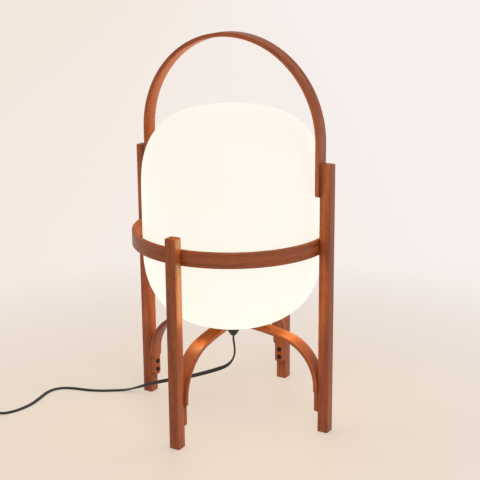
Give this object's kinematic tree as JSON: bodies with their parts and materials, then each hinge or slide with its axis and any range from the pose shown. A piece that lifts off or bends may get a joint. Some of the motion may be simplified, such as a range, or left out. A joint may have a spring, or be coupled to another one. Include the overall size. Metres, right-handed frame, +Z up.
{
  "type": "lantern table lamp",
  "caption": "Lantern table lamp with an opal globe on crossing bentwood arches, square legs, a hoop, a tall handle and a flat lead with an in-line switch.",
  "frame": {"origin": "on the table, at the middle of the four feet, under the crossing of the arches", "axes": "+Z up along the middle of the globe; the two tall legs and the handle lie in the XZ plane, the lead leaves to -X"},
  "size_m": [0.6075, 0.4392, 0.5637],
  "materials": {
    "cherry_wood": "satin lacquered cherry",
    "opal_glass": "opal, satin",
    "black_steel": "black oxide",
    "white_enamel": "white enamel",
    "soft_black": "matt flexible sheath",
    "clear_rubber": "milky silicone",
    "zinc": "zinc plated",
    "ceramic": "glazed",
    "brass": "bright",
    "frosted_glass": "frosted",
    "black_plastic": "fine texture"
  },
  "bodies": {
    "lamp": {"leg_right_front": "cherry_wood", "leg_right_rear": "cherry_wood", "leg_left_rear": "cherry_wood", "leg_left_front": "cherry_wood", "hoop_band": "cherry_wood", "handle_band": "cherry_wood", "cross_arch_left_right": "cherry_wood", "cross_arch_front_rear": "cherry_wood", "opal_globe": "opal_glass", "arch_bolt_right_front_1": "black_steel", "arch_bolt_right_front_2": "black_steel", "arch_bolt_right_rear_1": "black_steel", "arch_bolt_right_rear_2": "black_steel", "arch_bolt_left_rear_1": "black_steel", "arch_bolt_left_rear_2": "black_steel", "arch_bolt_left_front_1": "black_steel", "arch_bolt_left_front_2": "black_steel", "hoop_bolt_right_front": "black_steel", "hoop_bolt_right_rear": "black_steel", "hoop_bolt_left_rear": "black_steel", "hoop_bolt_left_front": "black_steel", "handle_bolt_right_front_1": "black_steel", "handle_bolt_right_front_2": "black_steel", "handle_bolt_left_rear_1": "black_steel", "handle_bolt_left_rear_2": "black_steel", "gallery_tray": "white_enamel", "holder_cap": "white_enamel", "holder_skirt": "white_enamel", "gland_cone": "soft_black", "cord_lead": "soft_black", "cord_link": "soft_black", "cord_coil": "soft_black", "cord_tail": "soft_black", "globe_gasket": "clear_rubber", "nipple_tube": "zinc", "crossing_washer": "zinc", "crossing_nut": "zinc", "bulb_cap": "zinc", "switch_pivot_pin": "zinc", "switch_screw_1": "zinc", "switch_screw_2": "zinc", "plug_pin_1": "zinc", "plug_pin_2": "zinc", "holder_core": "ceramic", "holder_sleeve": "brass", "switch_contact_1": "brass", "switch_contact_2": "brass", "bulb_glass": "frosted_glass", "switch_base": "black_plastic", "switch_cover": "black_plastic", "switch_bezel": "black_plastic", "coil_tie": "black_plastic", "plug_body": "black_plastic"},
    "rocker": {"switch_rocker": "black_plastic"}
  },
  "joints": [
    {"name": "switch_rock", "type": "hinge", "parent": "lamp", "child": "rocker", "pos_m": [-0.3358, -0.2344, 0.0124], "axis": [-0.6691, 0.7431, 0], "range_deg": [0, 12]}
  ]
}
